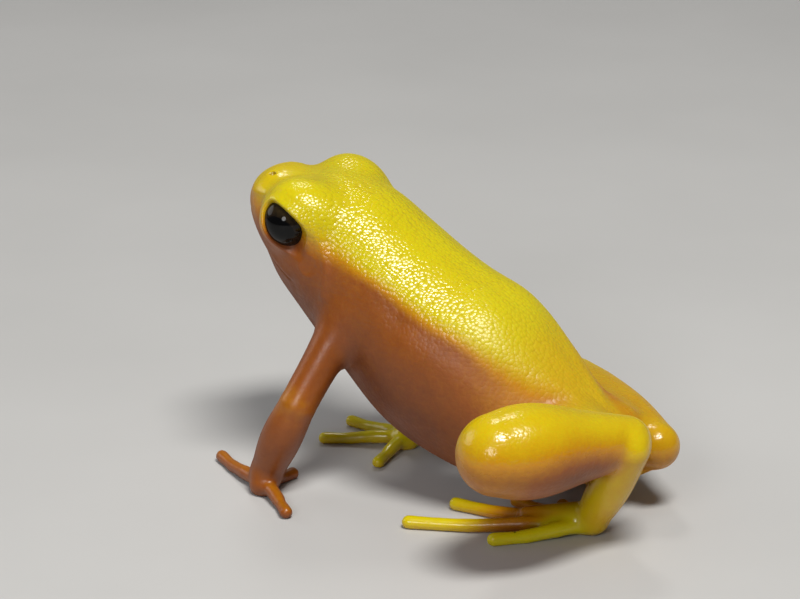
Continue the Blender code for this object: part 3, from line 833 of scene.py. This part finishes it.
def skin_material():
    mat, tree, shader = nodes_of("wet_granular_skin")
    where = add(tree, "ShaderNodeTexCoord").outputs["Object"]
    tone, grain, crease_shade, matt = (attribute(tree, name) for name in ("tone", "grain", "crease_shade", "matt"))

    def clouds(scale, detail=3.0, rough=0.55):
        return add(tree, "ShaderNodeTexNoise", inputs={"Vector": where, "Scale": scale, "Detail": detail, "Roughness": rough}).outputs["Fac"]

    # granules: a cobble of round domes about a quarter of a millimetre across
    warp = add(tree, "ShaderNodeTexNoise", inputs={"Vector": where, "Scale": 1500.0, "Detail": 1.0}).outputs["Color"]
    shifted = add(tree, "ShaderNodeMix", data_type="VECTOR", factor_mode="UNIFORM")
    shifted.inputs[0].default_value = 0.00012
    tree.links.new(where, shifted.inputs[4])
    tree.links.new(warp, shifted.inputs[5])
    cells = add(tree, "ShaderNodeTexVoronoi", feature="F1", inputs={"Vector": shifted.outputs[1], "Scale": 4700.0, "Randomness": 0.80})
    dome = maths(tree, "SUBTRACT", 1.0, maths(tree, "POWER", maths(tree, "MULTIPLY", cells.outputs["Distance"], 1.25), 2.0))
    fine_cells = add(tree, "ShaderNodeTexVoronoi", feature="F1", inputs={"Vector": where, "Scale": 8200.0, "Randomness": 1.0})
    fine = maths(tree, "SUBTRACT", 1.0, fine_cells.outputs["Distance"], clamp=True)

    # colour: tone moved a little by clouds, with painted shade that makes it darker and redder in the creases and
    # between granules
    drift = maths(tree, "MULTIPLY", maths(tree, "SUBTRACT", clouds(420.0), 0.5), 0.16)
    small = maths(tree, "MULTIPLY", maths(tree, "SUBTRACT", clouds(2600.0), 0.5), 0.12)
    level = maths(tree, "ADD", maths(tree, "ADD", tone, drift), small, clamp=True)
    # tone ramp: its dark end holds the skin's orange and also the painted shade of flank and underside
    colour = ramp(tree, level, (
        (0.00, (0.120, 0.021, 0.002)),
        (0.25, (0.305, 0.076, 0.002)),
        (0.50, (0.580, 0.245, 0.002)),
        (0.75, (0.650, 0.430, 0.002)),
        (1.00, (0.690, 0.590, 0.003)),
    ), "LINEAR")
    # painted shade in the gaps between granules, a darker orange
    granule_gap_shade = maths(tree, "MULTIPLY", maths(tree, "SUBTRACT", 1.0, dome), maths(tree, "MULTIPLY", grain, 0.14))
    colour = blend(tree, granule_gap_shade, colour, (0.42, 0.24, 0.005, 1.0))
    # painted shade in the creases, a dark brown
    crease_shade_share = maths(tree, "MULTIPLY", crease_shade, 0.75, clamp=True)
    colour = blend(tree, crease_shade_share, colour, (0.15, 0.035, 0.005, 1.0))
    tree.links.new(colour, shader.inputs["Base Color"])

    # wet film: glossy, with dry specks
    film = maths(tree, "ADD", 0.08, maths(tree, "MULTIPLY", clouds(1400.0, 4.0), 0.25))
    dry = maths(tree, "MULTIPLY", maths(tree, "SUBTRACT", 0.55, tone, clamp=True), 0.50)
    dry = maths(tree, "ADD", dry, maths(tree, "MULTIPLY", matt, 0.22))
    facing = add(tree, "ShaderNodeLayerWeight", inputs={"Blend": 0.5}).outputs["Facing"]
    broken = maths(tree, "MULTIPLY", maths(tree, "POWER", facing, 6.0), 0.60)
    tree.links.new(maths(tree, "ADD", maths(tree, "ADD", film, dry), broken, clamp=True), shader.inputs["Roughness"])

    height = maths(tree, "MULTIPLY", dome, grain)
    rough = maths(tree, "MULTIPLY", fine, 0.10)
    folds = maths(tree, "MULTIPLY", clouds(900.0, 2.0), 0.5)
    total = maths(tree, "ADD", maths(tree, "ADD", height, rough), folds)
    bump = add(tree, "ShaderNodeBump", inputs={"Height": total, "Strength": 1.0, "Distance": 0.000026})
    tree.links.new(bump.outputs["Normal"], shader.inputs["Normal"])
    shader.inputs["Metallic"].default_value = 0.0
    shader.inputs["IOR"].default_value = 1.53
    shader.inputs["Specular IOR Level"].default_value = 0.50
    shader.inputs["Subsurface Weight"].default_value = 0.10
    shader.inputs["Subsurface Radius"].default_value = (1.0, 0.35, 0.06)
    shader.inputs["Subsurface Scale"].default_value = 0.0006
    return mat


def eye_material():
    mat, tree, shader = nodes_of("dark_wet_eye")
    where = add(tree, "ShaderNodeTexCoord").outputs["Object"]
    pupil, off, above = attribute(tree, "pupil"), attribute(tree, "off"), attribute(tree, "above")
    flecks = add(tree, "ShaderNodeTexNoise", inputs={"Vector": where, "Scale": 5200.0, "Detail": 5.0, "Roughness": 0.7}).outputs["Fac"]
    iris = ramp(tree, flecks, ((0.35, (0.004, 0.003, 0.003)), (0.75, (0.022, 0.013, 0.006))), "LINEAR")
    upper = maths(tree, "MULTIPLY", maths(tree, "MULTIPLY", maths(tree, "SUBTRACT", above, 0.34), 3.0, clamp=True), 0.12)
    iris = blend(tree, upper, iris, (0.14, 0.095, 0.02, 1.0))
    rim = maths(tree, "MULTIPLY", maths(tree, "SUBTRACT", off, 0.62), 5.0, clamp=True)
    iris = blend(tree, rim, iris, (0.004, 0.003, 0.003, 1.0))
    hole = maths(tree, "MULTIPLY", maths(tree, "SUBTRACT", 1.04, pupil), 12.0, clamp=True)
    colour = blend(tree, hole, iris, (0.0012, 0.0012, 0.0014, 1.0))
    tree.links.new(colour, shader.inputs["Base Color"])
    wet = add(tree, "ShaderNodeTexNoise", inputs={"Vector": where, "Scale": 1800.0, "Detail": 2.0}).outputs["Fac"]
    tree.links.new(maths(tree, "ADD", 0.05, maths(tree, "MULTIPLY", wet, 0.05)), shader.inputs["Roughness"])
    shader.inputs["IOR"].default_value = 1.30
    shader.inputs["Coat Weight"].default_value = 0.06
    shader.inputs["Coat Roughness"].default_value = 0.03
    shader.inputs["Coat IOR"].default_value = 1.34
    return mat


def floor_material():
    mat, tree, shader = nodes_of("pale_floor")
    where = add(tree, "ShaderNodeTexCoord").outputs["Object"]
    cloud = add(tree, "ShaderNodeTexNoise", inputs={"Vector": where, "Scale": 40.0, "Detail": 4.0}).outputs["Fac"]
    tree.links.new(ramp(tree, cloud, ((0.3, (0.53, 0.525, 0.515)), (0.7, (0.565, 0.56, 0.55))), "LINEAR"), shader.inputs["Base Color"])
    shader.inputs["Roughness"].default_value = 0.65
    return mat


# ---------------------------------------------------------------- build
points, tris, normal = skin_mesh()
tone, grain, crease_shade, matt = skin_marks(points, normal)
skin = mesh_object("skin", points, tris, {"tone": tone, "grain": grain, "crease_shade": crease_shade, "matt": matt})
skin.data.materials.append(skin_material())
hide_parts(*[name for name in frame["nodes"] if not name.startswith("eye_")])
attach(skin, "root")

eye_look = eye_material()
for name, sign in (("eye_left", 1.0), ("eye_right", -1.0)):
    p, f, marks = eye_mesh(sign)
    ball = mesh_object(f"{name}_ball", p, f, marks)
    ball.data.materials.append(eye_look)
    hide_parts(name)
    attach(ball, "root")

# floor
floor_mesh = bpy.data.meshes.new("floor")
floor_mesh.from_pydata([(-2, -2, 0), (2, -2, 0), (2, 2, 0), (-2, 2, 0)], [], [(0, 1, 2, 3)])
floor = bpy.data.objects.new("floor", floor_mesh)
floor.location = (0.0, 0.0, -0.00001)
bpy.context.scene.collection.objects.link(floor)
floor_mesh.materials.append(floor_material())

# camera: behind the left shoulder, 20 degrees up
AIM = np.array([-0.855, -3.377, 9.70]) * 0.001
YAW, RISE, STAND_OFF = math.radians(30.0), math.radians(20.0), 0.1374
towards = np.array([math.cos(RISE) * math.cos(YAW), math.cos(RISE) * math.sin(YAW), math.sin(RISE)])
camera = bpy.data.objects.new("camera", bpy.data.cameras.new("camera"))
camera.data.lens = 118.0
camera.data.sensor_width = 36.0
camera.data.clip_start, camera.data.clip_end = 0.002, 20.0
camera.location = Vector(AIM + towards * STAND_OFF)
camera.rotation_euler = Vector(-towards).to_track_quat("-Z", "Y").to_euler()
bpy.context.scene.collection.objects.link(camera)
bpy.context.scene.camera = camera


def lamp(name, place, size, power, colour, aim=(0.0, 0.0, 0.008)):
    data = bpy.data.lights.new(name, "AREA")
    data.shape = "ELLIPSE"
    data.size, data.size_y = size
    data.energy = power
    data.color = colour
    obj = bpy.data.objects.new(name, data)
    obj.location = Vector(place)
    obj.rotation_euler = (Vector(aim) - Vector(place)).to_track_quat("-Z", "Y").to_euler()
    bpy.context.scene.collection.objects.link(obj)
    return obj


lamp("key", (0.064, 0.084, 0.258), (0.115, 0.060), 0.64, (1.0, 0.985, 0.95))
lamp("fill", (0.225, 0.030, 0.130), (0.08, 0.08), 0.15, (0.98, 0.99, 1.0))
lamp("far_side", (-0.125, -0.085, 0.220), (0.05, 0.05), 0.08, (1.0, 0.98, 0.95))
lamp("front", (0.03, -0.30, 0.13), (0.20, 0.14), 0.11, (1.0, 0.99, 0.97))

sky = bpy.data.worlds.new("studio")
sky.use_nodes = True
sky.node_tree.nodes["Background"].inputs["Color"].default_value = (0.82, 0.84, 0.88, 1.0)
sky.node_tree.nodes["Background"].inputs["Strength"].default_value = 0.13
bpy.context.scene.world = sky
bpy.context.scene.view_settings.view_transform = "Standard"

bpy.context.view_layer.update()
